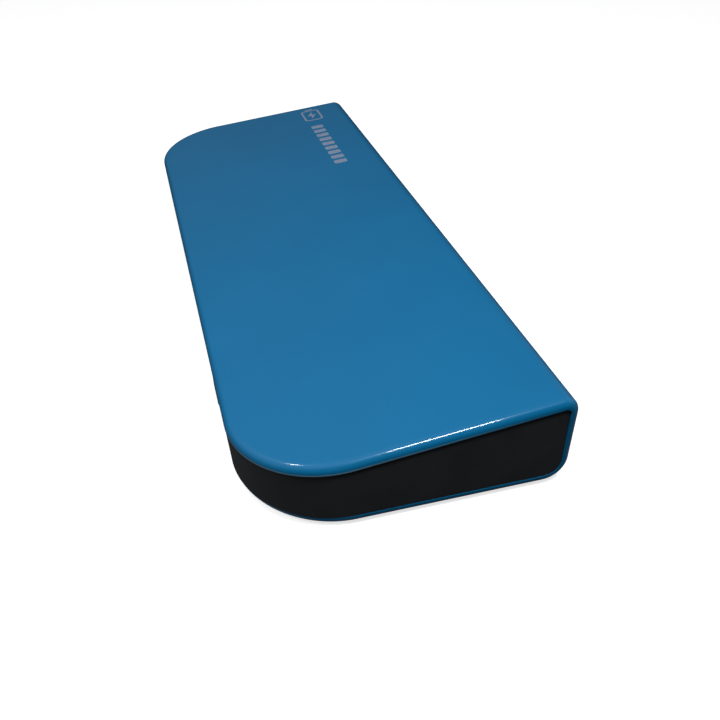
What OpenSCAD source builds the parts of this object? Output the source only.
// Wedge-shaped power bank. A glossy C-shaped shell wraps the top, the thick long side (the spine)
// and the edge of the underside; a matt band closes the other three sides and carries the ports.
// X runs across, from the thin side to the spine. Y runs along the length. Z is up.
// The origin is under the middle of the case, on the surface that the feet stand on.

/* [Case] */
// Width across, from the thin side to the spine
case_w = 80; // [80:1:84]
// Length
case_l = 214; // [212:1:224]
// Height at the spine, up to the corner that its flat faces would make, without the feet
thick_h = 25.6; // [25.2:0.2:27]
// Height at the thin side, up to the corner that its flat faces would make, without the feet
thin_h = 16.4; // [16.4:0.2:17.4]
// Plan radius of the two corners of the thin side
corner_r = 25.6; // [22:0.2:26]
// Thickness of the shell and the bottom cover
wall = 2.4; // [2.2:0.1:2.4]
// Rounding of the shell's outer edges
edge_r = 2; // [1.4:0.1:2]
// Outer radius where the top turns into the spine
spine_top_r = 4; // [3.5:0.5:5]
// Outer radius where the spine turns under the case
spine_bottom_r = 6.5; // [5.5:0.5:6.5]

/* [Band] */
// How far the band lies in from the edge of the shell
band_inset = 0.5; // [0.4:0.1:0.8]
// Thickness of the band
band_wall = 2; // [1.6:0.1:2]

/* [Feet and case screws] */
// How far the feet stand out under the case
foot_h = 0.8; // [0.6:0.1:1]
// Radius of a foot
foot_r = 4.4; // [4:0.1:4.4]
// Shank radius of a case screw
case_screw_r = 1.25; // [1:0.05:1.3]
// Head radius of a case screw
case_head_r = 2.4; // [2.2:0.1:2.5]

/* [Cells] */
// Width of a pouch cell
cell_w = 46; // [40:1:46]
// Length of a pouch cell's body, without its sealed end
cell_l = 84; // [70:1:84]
// Thickness of a pouch cell
cell_t = 6.5; // [6:0.1:6.5]

/* [Ports and button] */
// Middle of the power button along the length
button_y = -58; // [-60:1:-56]
// Length of the power button's face
button_l = 12; // [10:0.5:12]
// Height of the power button's face
button_h = 6; // [5:0.5:6]
// Travel of the power button
button_travel = 0.5; // [0.3:0.1:0.5]
// Place of the first charge light along the length
light_y = -46; // [-47:0.5:-45]
// Distance between charge lights
light_pitch = 3.5; // [3:0.25:3.5]
// Number of charge lights
light_count = 4; // [3:1:4]
// Middle of the two-way oval port along the length
usb_c_y = -16; // [-18:1:-14]
// Middle of the small input port along the length
micro_usb_y = 2; // [0:1:4]
// Middle of the first large output port along the length
usb_a_y = 26; // [24:1:28]
// Distance between the large output ports
usb_a_pitch = 24; // [20:1:26]

/* [Hidden] */
$fn = 64;

// Gap between moulded pieces that close on each other
fit_gap = 0.1;
// Small overlap that makes a cut run clear through a face
cut = 0.5;

// Case outline and the sloping top
x_thin = -case_w / 2;
x_spine = case_w / 2;
tilt = atan((thick_h - thin_h) / case_w);
floor_z = foot_h + wall;
function top_z(x) = foot_h + thin_h + (x - x_thin) * tan(tilt);
function ceiling_z(x) = top_z(x) - wall / cos(tilt);

// Centres of the two spine corners, in the XZ plane
top_arc = [
    x_spine - spine_top_r,
    top_z(x_spine) - spine_top_r * tan(tilt) - spine_top_r / cos(tilt)
];
bottom_arc = [x_spine - spine_bottom_r, foot_h + spine_bottom_r];
// Width of the flat strip that the shell keeps under the case
strip_w = 1.5;
joint_x = bottom_arc[0] - strip_w;
// Length of the top plate along its slope, so that its rounded edge ends at x_thin
plate_l = (top_arc[0] - x_thin - edge_r * (1 - cos(tilt))
    - (spine_top_r - edge_r) * sin(tilt)) / cos(tilt);

// Locating ribs inside the band
rib_w = 1;
rib_h = 1.4;
rib_inset = band_inset + band_wall + 0.15;

// Case screws and the feet that cover them
screw_places = [[26.5, -98], [26.5, 98], [-25, -90], [-25, 90]];
foot_edge_r = 0.5;
recess_t = 0.8;
recess_top = foot_h + recess_t;
recess_r = foot_r + 0.1;
boss_r = 3.8;
boss_split_z = 9;
post_r = 3;
case_head_t = 1.6;
case_head_top = recess_top + 0.4 + case_head_t;
case_screw_l = 8.4;
pilot_gap = 0.05;
shank_gap = 0.2;

// Main board, on short standoffs
standoff_h = 1.6;
standoff_r = 2.4;
board_t = 1.2;
board_top = floor_z + standoff_h + board_t;
board_x = [-36.6, -16];
board_half_l = 72;
board_notch = 1.8;
board_screw_places = [[-18.5, -68], [-18.5, 10], [-18.5, 68]];
board_screw_r = 0.8;
board_screw_l = 3.6;
board_pilot_z = 2;
board_head_r = 1.8;
board_head_t = 1.2;

// Ports
usb_a = [13.1, 5.7, 14];
usb_c = [8.94, 3.26, 7.4];
micro_usb = [7.5, 2.6, 5.6];
sheet = 0.3;
port_z = board_top + usb_a[1] / 2;
port_x = x_thin + 1.4;
port_margin = 0.25;

// Button and side-push switch
band_face = x_thin + band_inset;
band_back = band_face + band_wall;
flange_t = 0.8;
flange_margin = 1;
flange_x = band_back + fit_gap;
push_x = flange_x + flange_t + 0.6;
plunger_r = 1;
housing = [3.6, 6.6, port_z + 2.55 - board_top];
housing_x = -34.6;
housing_wall = 0.8;
chamber_r = 2;
chamber_x = housing_x + housing_wall;
plunger_flange_t = 0.4;
dome_h = 0.9;
dome_r = 1.9;
dome_t = 0.12;
dome_base_x = chamber_x + fit_gap + plunger_flange_t + fit_gap + dome_h;

// Charge lights
light_r = 0.9;
guide_t = 0.7;
guide_h = 4;
guide_margin = 1.5;
led = [1, 1.6, 1.1];
led_x = -35.9;

// Battery bay
tray_floor = 0.8;
tray_wall = 1.2;
tray_play = 0.2;
tray_h = 7.8;
tape_t = 0.2;
seal_l = 1.4;
seal_t = 1;
seal_margin = 2;
stack_gap = 8;
stack_mid_y = (stack_gap + cell_l) / 2;
seal_end = stack_gap / 2 - seal_l;
cell_edge_r = 1.6;
bay_x = -14.2 + tray_play;
bay_z = floor_z + tray_floor;
upper_z = bay_z + cell_t + tape_t;
stack_top = upper_z + cell_t;
cell_mid_x = bay_x + cell_w / 2;
tab_w = 5;
tab_t = 0.2;
tab_y = 1.6;
tab_spread = 12;
link_board_t = 1;
link_board_w = 6.4;
link_board_z = 9.9;
lead_r = 0.8;
// Route of the positive lead, from the protection board over the tray wall to the main board
lead_route = [
    [-8, 1.6, 11.8], [-9.4, 1.6, 12.2], [-11, 1.6, 12.6], [-13, 1.6, 12.8], [-15.4, 1.7, 12.7],
    [-17.4, 2, 12], [-18.8, 2.5, 10.6], [-19.4, 2.8, 9], [-19.6, 2.8, 7.4], [-19.6, 2.8, 6]
];

// Temperature sensor, between a cell's end and the protection board
bead_r = 0.8;
bead_at = [cell_mid_x + 6, -2.9, link_board_z + link_board_t + 1.4];
bead_leg_r = 0.2;

// ---------- Shared shapes ----------

// Rectangle with rounded corners, centred
module round_rect(w, h, r) {
    square([w - 2 * r, h], center = true);
    square([w, h - 2 * r], center = true);
    for (x = [-1, 1], y = [-1, 1])
        translate([x * (w / 2 - r), y * (h / 2 - r)]) circle(r);
}

// Half disc above the X axis
module half_disc(r) {
    intersection() {
        circle(r);
        translate([-r, 0]) square([2 * r, r]);
    }
}

// Rectangle with two half-round ends, centred
module pill(w, h) {
    square([w - h, h], center = true);
    for (s = [-1, 1]) translate([s * (w - h) / 2, 0]) circle(h / 2);
}

// Extrudes a YZ outline along X, from x to x + l, centred on [y, z]
module along_x(x, y, z, l) {
    translate([x, y, z]) rotate([90, 0, 90]) linear_extrude(l) children();
}

// Extrudes an XZ outline along Y, centred on y
module along_y(y, l) {
    translate([0, y, 0]) rotate([90, 0, 0]) linear_extrude(l, center = true) children();
}

// Round rod along X
module rod_x(x, y, z, l, r) {
    translate([x, y, z]) rotate([0, 90, 0]) cylinder(l, r, r);
}

// A box from its low corner and size, standing on the main board
module chip(x, y, size) {
    translate([x - size[0] / 2, y - size[1] / 2, board_top]) cube(size);
}

// Cross-section of a wall over the whole length, outer face at y = 0, outer edges rounded.
// The section is smaller by inset all round.
module wall_section(inset = 0) {
    flat_l = case_l - 2 * edge_r;
    translate([-flat_l / 2, -wall + inset]) square([flat_l, wall - 2 * inset]);
    translate([-case_l / 2 + inset, -wall + inset])
        square([case_l - 2 * inset, wall - edge_r - inset]);
    for (s = [-1, 1]) translate([s * flat_l / 2, -edge_r]) half_disc(edge_r - inset);
}

// Cross-section of the plate's rim, from a corner's centre out to its rounded edge
module rim_section() {
    translate([0, -wall]) square([corner_r - edge_r, wall]);
    translate([0, -wall]) square([corner_r, wall - edge_r]);
    translate([corner_r - edge_r, -edge_r]) half_disc(edge_r);
}

// Flat plate from x0 to x1 with its outer face at z = 0, two plan corners and rounded edges
module plate(x0, x1) {
    corner_x = x0 + corner_r;
    straight_l = case_l - 2 * corner_r;
    along_x(corner_x, 0, 0, x1 - corner_x) wall_section();
    translate([corner_x, 0, 0]) mirror([1, 0, 0]) along_y(0, straight_l) rim_section();
    for (s = [0, 1])
        translate([corner_x, (0.5 - s) * straight_l, 0])
            rotate([0, 0, 90 + 90 * s]) rotate_extrude(angle = 90) rim_section();
}

// Plan outline of the case, lying in from its edge by inset, square-cut at x1
module plan(inset, x1) {
    r = corner_r - inset;
    corner_x = x_thin + corner_r;
    translate([corner_x, -case_l / 2 + inset]) square([x1 - corner_x, case_l - 2 * inset]);
    translate([x_thin + inset, -case_l / 2 + corner_r]) square([r, case_l - 2 * corner_r]);
    for (s = [-1, 1]) translate([corner_x, s * (case_l / 2 - corner_r)]) circle(r);
}

// Closed ring that follows three sides of the plan, t thick, standing from z0 to z1
module plan_ring(inset, t, x1, z0, z1) {
    translate([0, 0, z0]) linear_extrude(z1 - z0) difference() {
        plan(inset, x1);
        plan(inset + t, x1 + cut);
    }
}

// Space between the covers in the XZ plane, with the inside radii of the spine
module core_section() {
    top_r = spine_top_r - wall - fit_gap;
    bottom_r = spine_bottom_r - wall - fit_gap;
    x1 = x_spine - wall - fit_gap;
    polygon([
        [x_thin, floor_z], [bottom_arc[0], floor_z], bottom_arc, [x1, bottom_arc[1]],
        [x1, top_arc[1]], top_arc, top_arc + top_r * [-sin(tilt), cos(tilt)],
        [x_thin, ceiling_z(x_thin) - fit_gap / cos(tilt)]
    ]);
    translate(top_arc) circle(top_r);
    difference() {
        translate(bottom_arc) circle(bottom_r + fit_gap);
        translate([x1, 0]) square([case_w, thick_h]);
    }
}

// ---------- Casing ----------

// Turns the wall section about a spine corner, from angle a0, over a degrees, and runs into the
// flats at both ends. It is smaller than the flats by a hair, so that its faces cross theirs.
module spine_corner(centre, r, a0, a) {
    hair = 0.01;
    run_in = 1.5;
    translate([centre[0], 0, centre[1]]) rotate([90, 0, 0]) rotate([0, 0, a0 - run_in])
        rotate_extrude(angle = a + 2 * run_in) translate([r, 0]) rotate(-90) wall_section(hair);
}

// Post that takes a case screw, hanging from the top plate
module screw_post(p) {
    translate([p[0], p[1], boss_split_z + fit_gap])
        cylinder(ceiling_z(p[0]) + wall / 2 - boss_split_z - fit_gap, post_r, post_r);
}

module top_shell() {
    color([0.07, 0.42, 0.66]) difference() {
        union() {
            translate([top_arc[0], 0, top_arc[1]]) rotate([0, -tilt, 0])
                translate([0, 0, spine_top_r]) plate(-plate_l, 0);
            spine_corner(top_arc, spine_top_r, 0, 90 + tilt);
            translate([x_spine, 0, bottom_arc[1]])
                linear_extrude(top_arc[1] - bottom_arc[1]) rotate(-90) wall_section();
            spine_corner(bottom_arc, spine_bottom_r, -90, 90);
            translate([0, 0, foot_h]) mirror([0, 0, 1])
                along_x(joint_x, 0, 0, strip_w) wall_section();
            for (p = screw_places) screw_post(p);
            intersection() {
                plan_ring(rib_inset, rib_w, top_arc[0] - 2, floor_z, thick_h);
                along_y(0, case_l) polygon([
                    for (c = [[-1, -rib_h], [1, -rib_h], [1, wall / 2], [-1, wall / 2]])
                        [c[0] * x_spine, ceiling_z(c[0] * x_spine) + c[1]]
                ]);
            }
        }
        for (p = screw_places)
            translate([p[0], p[1], boss_split_z])
                cylinder(case_head_top + case_screw_l - boss_split_z + cut,
                    case_screw_r + pilot_gap, case_screw_r + pilot_gap);
    }
}

module bottom_cover() {
    color([0.07, 0.42, 0.66]) difference() {
        union() {
            translate([0, 0, foot_h]) mirror([0, 0, 1]) plate(x_thin, joint_x - fit_gap);
            plan_ring(rib_inset, rib_w, joint_x - 2, floor_z - cut, floor_z + rib_h);
            for (p = screw_places)
                translate([p[0], p[1], floor_z - cut])
                    cylinder(boss_split_z - floor_z + cut, boss_r, boss_r);
            for (p = board_screw_places)
                translate([p[0], p[1], floor_z - cut])
                    cylinder(standoff_h + cut, standoff_r, standoff_r);
        }
        for (p = screw_places) translate([p[0], p[1], 0]) {
            cylinder(recess_top, recess_r, recess_r);
            cylinder(case_head_top, case_head_r + shank_gap, case_head_r + shank_gap);
            cylinder(thick_h, case_screw_r + shank_gap, case_screw_r + shank_gap);
        }
        for (p = board_screw_places)
            translate([p[0], p[1], board_pilot_z])
                cylinder(thin_h, board_screw_r + pilot_gap, board_screw_r + pilot_gap);
    }
}

// Cut through the band for a port or button
module band_cut(y) {
    along_x(band_face - cut, y, port_z, band_wall + 2 * cut) children();
}

module side_band() {
    color([0.09, 0.09, 0.1]) difference() {
        intersection() {
            plan_ring(band_inset, band_wall, x_spine, foot_h, thick_h);
            along_y(0, case_l) core_section();
        }
        band_cut(button_y) pill(button_l + 0.4, button_h + 0.4);
        for (i = [0 : light_count - 1])
            band_cut(light_y + i * light_pitch) circle(light_r + 0.05);
        for (i = [0, 1])
            band_cut(usb_a_y + i * usb_a_pitch)
                round_rect(usb_a[0] + 2 * port_margin, usb_a[1] + 2 * port_margin, 0.9);
        band_cut(usb_c_y) pill(usb_c[0] + 2 * port_margin, usb_c[1] + 2 * port_margin);
        band_cut(micro_usb_y)
            round_rect(micro_usb[0] + 2 * port_margin, micro_usb[1] + 2 * port_margin, 0.8);
    }
}

module power_button() {
    color([0.13, 0.13, 0.14]) {
        along_x(band_face - 0.3, button_y, port_z, band_wall + 0.3 + 2 * fit_gap)
            pill(button_l, button_h);
        along_x(flange_x, button_y, port_z, flange_t)
            pill(button_l + 2 * flange_margin, button_h + 2 * flange_margin);
        rod_x(flange_x, button_y, port_z, push_x - flange_x, 1.5);
    }
}

module light_guide() {
    color([0.9, 0.95, 1]) {
        for (i = [0 : light_count - 1])
            rod_x(band_face, light_y + i * light_pitch, port_z, band_wall + guide_t / 2, light_r);
        translate([band_back, light_y - guide_margin, board_top + fit_gap])
            cube([guide_t, (light_count - 1) * light_pitch + 2 * guide_margin, guide_h]);
    }
}

// Foot with a rounded lower edge
module foot(i) {
    color([0.1, 0.1, 0.1]) translate([screw_places[i][0], screw_places[i][1], 0]) rotate_extrude() {
        translate([0, foot_edge_r]) square([foot_r, recess_top - foot_edge_r]);
        square([foot_r - foot_edge_r, recess_top]);
        translate([foot_r - foot_edge_r, foot_edge_r]) circle(foot_edge_r);
    }
}

// Pan-head screw with a cross recess; the head's flat side is at z and the shank runs up
module pan_screw(p, z, head_r, head_t, shank_r, shank_l) {
    slot = [head_r * 1.2, head_r * 0.25, head_t * 0.5];
    translate([p[0], p[1], z]) difference() {
        union() {
            translate([0, 0, -head_t]) cylinder(head_t, head_r, head_r);
            cylinder(shank_l, shank_r, shank_r);
        }
        for (a = [0, 90]) rotate([0, 0, a])
            translate([-slot[0] / 2, -slot[1] / 2, -head_t - slot[2]])
                cube([slot[0], slot[1], 2 * slot[2]]);
    }
}

module case_screws() {
    color([0.6, 0.6, 0.62]) for (p = screw_places)
        pan_screw(p, case_head_top, case_head_r, case_head_t, case_screw_r, case_screw_l);
}

// ---------- Electronics ----------

module main_board() {
    color([0.05, 0.35, 0.2]) difference() {
        translate([board_x[0], -board_half_l, board_top - board_t])
            cube([board_x[1] - board_x[0], 2 * board_half_l, board_t]);
        translate([board_x[0] - cut, button_y - button_l / 2 - 2, 0])
            cube([board_notch + cut, button_l + 4, thin_h]);
        for (p = board_screw_places)
            translate([p[0], p[1], 0])
                cylinder(thin_h, board_screw_r + shank_gap, board_screw_r + shank_gap);
    }
}

module board_screws() {
    color([0.6, 0.6, 0.62]) for (p = board_screw_places)
        translate([0, 0, 2 * board_top]) mirror([0, 0, 1])
            pan_screw(p, board_top, board_head_r, board_head_t, board_screw_r, board_screw_l);
}

// Side-push switch: a hollow housing, the plunger that the button pushes, and a snap dome
module switch_housing() {
    color([0.12, 0.12, 0.12]) difference() {
        translate([housing_x, button_y - housing[1] / 2, board_top]) cube(housing);
        rod_x(housing_x - cut, button_y, port_z, housing_wall + 2 * cut, plunger_r + 0.05);
        rod_x(chamber_x, button_y, port_z, dome_base_x - chamber_x, chamber_r);
    }
}

module switch_plunger() {
    color([0.85, 0.85, 0.82]) {
        rod_x(push_x + fit_gap, button_y, port_z, chamber_x - push_x, plunger_r);
        rod_x(chamber_x + fit_gap, button_y, port_z, plunger_flange_t, chamber_r - 0.2);
    }
}

module switch_dome() {
    sphere_r = (dome_r * dome_r + dome_h * dome_h) / (2 * dome_h);
    color([0.8, 0.7, 0.45]) translate([dome_base_x, button_y, port_z]) intersection() {
        translate([sphere_r - dome_h, 0, 0]) difference() {
            sphere(sphere_r);
            sphere(sphere_r - dome_t);
        }
        rod_x(-dome_h - cut, 0, 0, dome_h + cut, chamber_r);
    }
}

module status_leds() {
    color([0.95, 0.95, 0.85]) for (i = [0 : light_count - 1])
        chip(led_x, light_y + i * light_pitch, led);
}

module charge_chip() {
    color([0.08, 0.08, 0.08]) chip(-22, -33, [7, 7, 0.9]);
}

// Small-outline package with a row of leads on each side
module control_chip() {
    at = [-27, -46];
    body = [4, 9.5, 1.5];
    lead = [1.2, 0.45, 0.8];
    leads = 7;
    pitch = 1.27;
    color([0.08, 0.08, 0.08]) {
        chip(at[0], at[1], body);
        for (i = [0 : leads - 1], s = [-1, 1])
            chip(at[0] + s * (body[0] + lead[0]) / 2 - s * 0.1,
                at[1] + (i - (leads - 1) / 2) * pitch, lead);
    }
}

// Moulded power inductor with soldering tabs
module power_inductor(y) {
    x = -22.4;
    body = [8, 8, 4];
    tab = [3, 0.8, 1];
    color([0.25, 0.25, 0.27]) {
        chip(x, y, body);
        for (s = [-1, 1]) chip(x, y + s * body[1] / 2, tab);
    }
}

module power_transistors() {
    first_y = 22;
    pitch = 10;
    color([0.08, 0.08, 0.08]) for (i = [0 : 3]) chip(-20, first_y + i * pitch, [5, 6, 1]);
}

module output_capacitors() {
    can_r = 3.15;
    can_h = 5.8;
    color([0.75, 0.76, 0.78]) for (y = [-60, -52, -44])
        translate([-20, y, board_top]) cylinder(can_h, can_r, can_r);
}

module chip_capacitors() {
    size = [2, 1.25, 1.25];
    color([0.7, 0.55, 0.38]) {
        for (i = [0 : 4]) chip(-31, -38 + 3 * i, size);
        for (i = [0 : 3]) chip(-28, 8 + 2.6 * i, size);
        for (i = [0 : 2]) chip(-34, 62 + 3 * i, size);
    }
}

// ---------- Ports ----------

// Large output port: a folded steel shield, its insert with a tongue, and four contacts
usb_a_inner_r = 0.35;

// Inside outline of the large port's shield
module usb_a_inside() {
    round_rect(usb_a[0] - 2 * sheet, usb_a[1] - 2 * sheet, usb_a_inner_r);
}

module usb_a_shield(y) {
    color([0.75, 0.75, 0.77]) along_x(port_x, y, port_z, usb_a[2]) difference() {
        round_rect(usb_a[0], usb_a[1], usb_a_inner_r + sheet);
        usb_a_inside();
    }
}

usb_a_tongue = [9.4, 11.1, 1.84];
usb_a_block_l = 3.4;
usb_a_tongue_z = port_z + usb_a[1] / 2 - sheet - 0.7 - usb_a_tongue[2];

module usb_a_insert(y) {
    block_x = port_x + usb_a[2] - usb_a_block_l;
    color([0.93, 0.93, 0.9]) {
        along_x(block_x, y, port_z, usb_a_block_l) usb_a_inside();
        translate([block_x - usb_a_tongue[0], y - usb_a_tongue[1] / 2, usb_a_tongue_z])
            cube([usb_a_tongue[0] + cut, usb_a_tongue[1], usb_a_tongue[2]]);
    }
}

module usb_a_contacts(y) {
    block_x = port_x + usb_a[2] - usb_a_block_l;
    color([0.85, 0.7, 0.35]) for (i = [-3.5, -1, 1, 3.5])
        translate([block_x - 7.6, y + i - 0.5, usb_a_tongue_z - 0.15]) cube([7.6, 1, 0.15]);
}

// Legs that carry a small shield above the board
module shield_legs(y, w, h, l) {
    for (s = [-1, 1])
        translate([port_x + l - 2, y + s * (w / 2 - 0.3) - 0.2, board_top])
            cube([1.2, 0.4, port_z - board_top]);
}

// Oval two-way port
module usb_c_shield() {
    color([0.75, 0.75, 0.77]) difference() {
        union() {
            along_x(port_x, usb_c_y, port_z, usb_c[2]) pill(usb_c[0], usb_c[1]);
            shield_legs(usb_c_y, usb_c[0], usb_c[1], usb_c[2]);
        }
        along_x(port_x - cut, usb_c_y, port_z, usb_c[2] + 2 * cut)
            pill(usb_c[0] - 2 * sheet, usb_c[1] - 2 * sheet);
    }
}

module usb_c_insert() {
    x1 = port_x + usb_c[2];
    color([0.1, 0.1, 0.1]) {
        along_x(x1 - 1.6, usb_c_y, port_z, 2.4)
            pill(usb_c[0] - 2 * sheet, usb_c[1] - 2 * sheet);
        along_x(x1 - 6, usb_c_y, port_z, 6) round_rect(6.7, 0.7, 0.3);
        translate([x1 + 0.1, usb_c_y - 3.4, board_top]) cube([0.7, 6.8, port_z - board_top]);
        translate([x1 - 5, usb_c_y - 3.4, board_top])
            cube([5.8, 6.8, port_z - usb_c[1] / 2 - board_top]);
    }
}

// Outline of the small input port, with its two lower corners cut off
module micro_outline(w, h) {
    polygon([
        [-w / 2, h / 2], [-w / 2, -h * 0.1], [-w / 2 + h * 0.4, -h / 2],
        [w / 2 - h * 0.4, -h / 2], [w / 2, -h * 0.1], [w / 2, h / 2]
    ]);
}

module micro_usb_shield() {
    color([0.75, 0.75, 0.77]) difference() {
        union() {
            along_x(port_x, micro_usb_y, port_z, micro_usb[2])
                micro_outline(micro_usb[0], micro_usb[1]);
            shield_legs(micro_usb_y, micro_usb[0], micro_usb[1], micro_usb[2]);
        }
        along_x(port_x - cut, micro_usb_y, port_z, micro_usb[2] + 2 * cut)
            micro_outline(micro_usb[0] - 2 * sheet, micro_usb[1] - 2 * sheet);
    }
}

module micro_usb_insert() {
    x1 = port_x + micro_usb[2];
    color([0.1, 0.1, 0.1]) {
        along_x(x1 - 1.4, micro_usb_y, port_z, 2.2)
            micro_outline(micro_usb[0] - 2 * sheet, micro_usb[1] - 2 * sheet);
        along_x(x1 - 4.4, micro_usb_y, port_z + 0.3, 4.4) square([3.8, 0.6], center = true);
        translate([x1 + 0.1, micro_usb_y - 2.6, board_top]) cube([0.7, 5.2, port_z - board_top]);
        translate([x1 - 4, micro_usb_y - 2.6, board_top])
            cube([4.8, 5.2, port_z - micro_usb[1] / 2 - board_top]);
    }
}

// ---------- Battery ----------

module battery_tray() {
    half_l = stack_gap / 2 + cell_l + tray_play + tray_wall;
    bay = [cell_w + 2 * tray_play, half_l - tray_wall - 0.8];
    x0 = bay_x - tray_play - tray_wall;
    color([0.16, 0.16, 0.17]) difference() {
        translate([x0, -half_l, floor_z]) cube([bay[0] + 2 * tray_wall, 2 * half_l, tray_h]);
        for (s = [-1, 1])
            translate([bay_x - tray_play, s > 0 ? 0.8 : -0.8 - bay[1], bay_z])
                cube([bay[0], bay[1], tray_h]);
        // Seat for the protection board, down to its underside
        translate([bay_x - tray_play, -cut - 0.8, link_board_z])
            cube([bay[0], 1.6 + 2 * cut, tray_h]);
    }
}

// Far or near half: side is 1 for the far half as it is, and -1 for its mirror image
module on_side(side) {
    mirror([0, side > 0 ? 0 : 1, 0]) children();
}

// Pouch cell with its sealed end towards the middle; z is its underside
module pouch_cell(side, z) {
    color([0.8, 0.81, 0.83]) on_side(side) {
        translate([cell_mid_x, 0, z + cell_t / 2])
            along_y(stack_mid_y, cell_l) round_rect(cell_w, cell_t, cell_edge_r);
        translate([cell_mid_x - cell_w / 2 + seal_margin, seal_end, z + (cell_t - seal_t) / 2])
            cube([cell_w - 2 * seal_margin, seal_l + cut, seal_t]);
    }
}

module cell_tapes() {
    tape = [30, 70];
    color([0.9, 0.9, 0.85]) for (side = [-1, 1]) on_side(side)
        translate([cell_mid_x - tape[0] / 2, stack_mid_y - tape[1] / 2, bay_z + cell_t])
            cube([tape[0], tape[1], tape_t]);
}

// L-shaped tab from a cell's sealed end to the protection board
module cell_tab(x, cell_z, board_z) {
    translate([x - tab_w / 2, tab_y, cell_z - tab_t / 2]) cube([tab_w, seal_end - tab_y, tab_t]);
    translate([x - tab_w / 2, tab_y, min(cell_z, board_z)])
        cube([tab_w, tab_t, abs(cell_z - board_z)]);
}

module cell_tabs() {
    color([0.75, 0.73, 0.68]) for (side = [-1, 1], s = [-1, 1]) on_side(side) {
        x = cell_mid_x + s * tab_spread;
        cell_tab(x, bay_z + cell_t / 2, link_board_z);
        cell_tab(x, upper_z + cell_t / 2, link_board_z + link_board_t);
    }
}

// Wedge of foam between the upper cells and the sloping top plate
module foam_pad(side) {
    x0 = cell_mid_x - 4;
    x1 = cell_mid_x + cell_w / 2 - 3;
    pad_l = 60;
    color([0.2, 0.2, 0.21]) on_side(side) along_y(stack_mid_y, pad_l) polygon([
        [x0, stack_top], [x1, stack_top],
        [x1, ceiling_z(x1) - fit_gap], [x0, ceiling_z(x0) - fit_gap]
    ]);
}

module protection_board() {
    switch_chip = [4, 3, 1];
    color([0.05, 0.3, 0.18]) {
        translate([bay_x + 1, -link_board_w / 2, link_board_z])
            cube([cell_w - 2, link_board_w, link_board_t]);
        for (s = [-1, 1])
            translate([cell_mid_x + s * 3 - switch_chip[0] / 2, -switch_chip[1] / 2,
                link_board_z + link_board_t])
                cube(switch_chip);
    }
}

// Points of a circle of radius r at p, facing along the unit vector d, with its normal side n
function ring(p, d, n, r, sides) = [
    for (k = [0 : sides - 1])
        p + r * (cos(k * 360 / sides) * n + sin(k * 360 / sides) * cross(d, n))
];

// Tube that follows a route; up is any direction that the route never runs along
module tube(route, r, up) {
    sides = 8;
    last = len(route) - 1;
    unit = function (v) v / norm(v);
    ways = [for (i = [0 : last]) unit(route[min(i + 1, last)] - route[max(i - 1, 0)])];
    points = [
        for (i = [0 : last]) each ring(route[i], ways[i], unit(cross(up, ways[i])), r, sides)
    ];
    polyhedron(points, concat(
        [[for (k = [0 : sides - 1]) sides - 1 - k]],
        [[for (k = [0 : sides - 1]) last * sides + k]],
        [for (i = [0 : last - 1], k = [0 : sides - 1])
            [i * sides + k, i * sides + (k + 1) % sides,
                (i + 1) * sides + (k + 1) % sides, (i + 1) * sides + k]]
    ));
}

module battery_lead_positive() {
    color([0.75, 0.08, 0.06]) tube(lead_route, lead_r, [0, 1, 0]);
}

module battery_lead_negative() {
    color([0.1, 0.1, 0.1]) tube([for (p = lead_route) [p[0], -p[1], p[2]]], lead_r, [0, 1, 0]);
}

// Bead on two thin legs
module temperature_sensor() {
    board_face = link_board_z + link_board_t;
    color([0.1, 0.1, 0.12]) {
        translate(bead_at) sphere(bead_r);
        for (s = [-1, 1])
            translate([bead_at[0] + s * bead_r / 2, bead_at[1], board_face])
                cylinder(bead_at[2] - board_face, bead_leg_r, bead_leg_r);
    }
}

// ---------- Nodes ----------

top_shell();
bottom_cover();
side_band();
power_button();
light_guide();
for (i = [0 : 3]) foot(i);
case_screws();
main_board();
board_screws();
switch_housing();
switch_plunger();
switch_dome();
status_leds();
charge_chip();
control_chip();
power_inductor(-22);  // power_inductor_1
power_inductor(-10);  // power_inductor_2
power_transistors();
output_capacitors();
chip_capacitors();
for (i = [0, 1]) {
    y = usb_a_y + i * usb_a_pitch;
    usb_a_shield(y);
    usb_a_insert(y);
    usb_a_contacts(y);
}
usb_c_shield();
usb_c_insert();
micro_usb_shield();
micro_usb_insert();
battery_tray();
pouch_cell(-1, bay_z);  // cell_1
pouch_cell(-1, upper_z);  // cell_2
pouch_cell(1, bay_z);  // cell_3
pouch_cell(1, upper_z);  // cell_4
cell_tapes();
cell_tabs();
foam_pad(-1);  // foam_pad_1
foam_pad(1);  // foam_pad_2
protection_board();
temperature_sensor();
battery_lead_positive();
battery_lead_negative();
